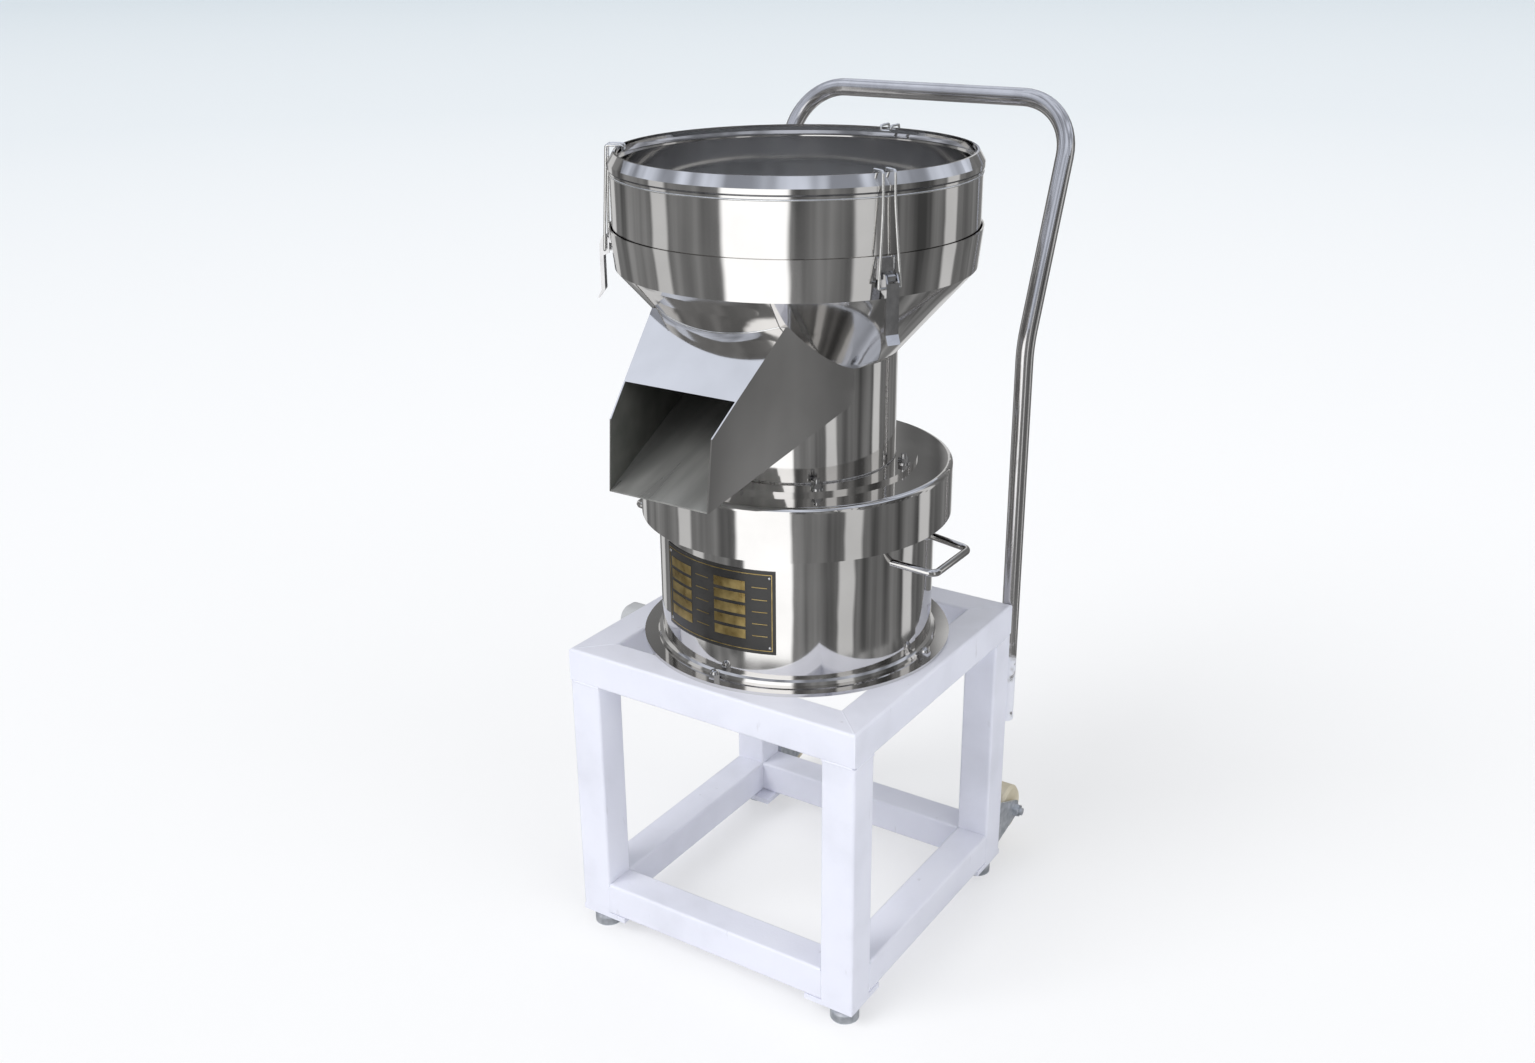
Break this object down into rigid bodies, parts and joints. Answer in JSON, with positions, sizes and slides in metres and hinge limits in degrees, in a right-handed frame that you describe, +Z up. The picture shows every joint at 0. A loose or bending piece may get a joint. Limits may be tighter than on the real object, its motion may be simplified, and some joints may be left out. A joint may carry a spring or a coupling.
{
  "type": "vibrating filtration sieve",
  "caption": "Round polished stainless vibrating filtration sieve with a cone bowl, front discharge chute and toggle latches, on a square tube stand with push handle, casters and levelling feet.",
  "frame": {"origin": "On the machine axis, at floor level under the four levelling feet", "axes": "+Z up along the machine axis, -Y the way the discharge chute points, +X to the right when looking along +Y at the chute"},
  "size_m": [0.5239, 0.696, 1.1705],
  "materials": {
    "white_paint": "glossy white paint on steel tube",
    "stainless_tube": "satin stainless tube",
    "polished_stainless": "mirror polished stainless sheet",
    "bright_fastener": "bright stainless",
    "zinc_steel": "zinc plated steel",
    "spring_steel": "oiled spring steel",
    "black_plate": "black anodised plate with bare gold fields",
    "silicone": "matt white silicone",
    "woven_mesh": "fine woven wire",
    "motor_cast": "painted casting",
    "beige_nylon": "beige nylon",
    "grey_plastic": "satin grey moulding",
    "black_plastic": "black moulding"
  },
  "bodies": {
    "stand": {"leg_front_left": "white_paint", "leg_front_right": "white_paint", "leg_rear_left": "white_paint", "leg_rear_right": "white_paint", "top_rail_front": "white_paint", "top_rail_right": "white_paint", "top_rail_rear": "white_paint", "top_rail_left": "white_paint", "bottom_rail_front": "white_paint", "bottom_rail_right": "white_paint", "bottom_rail_rear": "white_paint", "bottom_rail_left": "white_paint", "foot_plates": "white_paint", "foot_lock_nuts": "zinc_steel", "base_shell": "polished_stainless", "hold_down_bolts": "bright_fastener", "base_handle_left": "polished_stainless", "base_handle_right": "polished_stainless", "nameplate": "black_plate", "springs": "spring_steel", "push_handle": "stainless_tube", "caster_bracket_left": "zinc_steel", "caster_bracket_right": "zinc_steel", "caster_axles": "zinc_steel", "switch_box": "grey_plastic", "switch_box_lid": "grey_plastic", "cable_gland": "black_plastic"},
    "deck": {"cap": "polished_stainless", "bowl": "polished_stainless", "hood_panel": "polished_stainless", "chute": "polished_stainless", "chute_floor": "polished_stainless", "neck_bolts": "bright_fastener", "screen_gasket": "silicone", "screen_ring": "polished_stainless", "screen_mesh": "woven_mesh", "upper_frame": "polished_stainless", "latch_brackets": "bright_fastener", "motor_body": "motor_cast", "motor_bolts": "zinc_steel"},
    "rotor": {"motor_shaft": "spring_steel", "eccentric_weight_upper": "zinc_steel", "eccentric_weight_lower": "zinc_steel"},
    "lever_1": {"latch_lever_1": "bright_fastener"},
    "bail_1": {"latch_bail_1": "bright_fastener"},
    "lever_2": {"latch_lever_2": "bright_fastener"},
    "bail_2": {"latch_bail_2": "bright_fastener"},
    "lever_3": {"latch_lever_3": "bright_fastener"},
    "bail_3": {"latch_bail_3": "bright_fastener"},
    "wheel_left": {"caster_wheel_left": "beige_nylon"},
    "wheel_right": {"caster_wheel_right": "beige_nylon"},
    "foot_front_left": {"levelling_foot_front_left": "zinc_steel"},
    "foot_front_right": {"levelling_foot_front_right": "zinc_steel"},
    "foot_rear_left": {"levelling_foot_rear_left": "zinc_steel"},
    "foot_rear_right": {"levelling_foot_rear_right": "zinc_steel"},
    "rocker": {"switch_rocker": "black_plastic"}
  },
  "joints": [
    {"name": "deck_bounce", "type": "slide", "parent": "stand", "child": "deck", "axis": [0, 0, 1], "range_m": [-0.004, 0.004], "stiffness_N_per_m": 120000, "springref_m": 0.00415, "deforming": ["springs"]},
    {"name": "rotor_spin", "type": "hinge", "parent": "deck", "child": "rotor", "pos_m": [0, 0, 0.6], "axis": [0, 0, 1], "continuous": true},
    {"name": "latch_lever_1_open", "type": "hinge", "parent": "deck", "child": "lever_1", "pos_m": [0.21116, -0.13195, 1.006], "axis": [-0.5299, -0.848, 0], "range_deg": [0, 150]},
    {"name": "latch_bail_1_swing", "type": "hinge", "parent": "lever_1", "child": "bail_1", "pos_m": [0.21116, -0.13195, 0.994], "axis": [-0.5299, -0.848, 0], "range_deg": [-150, 0]},
    {"name": "latch_lever_2_open", "type": "hinge", "parent": "deck", "child": "lever_2", "pos_m": [0.00869, 0.24885, 1.006], "axis": [0.9994, -0.0349, 0], "range_deg": [0, 150]},
    {"name": "latch_bail_2_swing", "type": "hinge", "parent": "lever_2", "child": "bail_2", "pos_m": [0.00869, 0.24885, 0.994], "axis": [0.9994, -0.0349, 0], "range_deg": [-150, 0]},
    {"name": "latch_lever_3_open", "type": "hinge", "parent": "deck", "child": "lever_3", "pos_m": [-0.21985, -0.1169, 1.006], "axis": [-0.4695, 0.8829, 0], "range_deg": [0, 150]},
    {"name": "latch_bail_3_swing", "type": "hinge", "parent": "lever_3", "child": "bail_3", "pos_m": [-0.21985, -0.1169, 0.994], "axis": [-0.4695, 0.8829, 0], "range_deg": [-150, 0]},
    {"name": "caster_wheel_left_roll", "type": "hinge", "parent": "stand", "child": "wheel_left", "pos_m": [-0.2, 0.3, 0.064], "axis": [1, 0, 0], "continuous": true},
    {"name": "caster_wheel_right_roll", "type": "hinge", "parent": "stand", "child": "wheel_right", "pos_m": [0.2, 0.3, 0.064], "axis": [1, 0, 0], "continuous": true},
    {"name": "levelling_foot_front_left_turn", "type": "hinge", "parent": "stand", "child": "foot_front_left", "pos_m": [-0.205, -0.205, 0.02], "axis": [0, 0, 1], "continuous": true},
    {"name": "levelling_foot_front_right_turn", "type": "hinge", "parent": "stand", "child": "foot_front_right", "pos_m": [0.205, -0.205, 0.02], "axis": [0, 0, 1], "continuous": true},
    {"name": "levelling_foot_rear_left_turn", "type": "hinge", "parent": "stand", "child": "foot_rear_left", "pos_m": [-0.205, 0.205, 0.02], "axis": [0, 0, 1], "continuous": true},
    {"name": "levelling_foot_rear_right_turn", "type": "hinge", "parent": "stand", "child": "foot_rear_right", "pos_m": [0.205, 0.205, 0.02], "axis": [0, 0, 1], "continuous": true},
    {"name": "switch_rocker_tilt", "type": "hinge", "parent": "stand", "child": "rocker", "pos_m": [-0.269, -0.035, 0.395], "axis": [0, 1, 0], "range_deg": [-8, 8]}
  ],
  "couplings": [
    {"joint": "latch_bail_1_swing", "follows": "latch_lever_1_open", "ratio": -1},
    {"joint": "latch_bail_2_swing", "follows": "latch_lever_2_open", "ratio": -1},
    {"joint": "latch_bail_3_swing", "follows": "latch_lever_3_open", "ratio": -1}
  ]
}
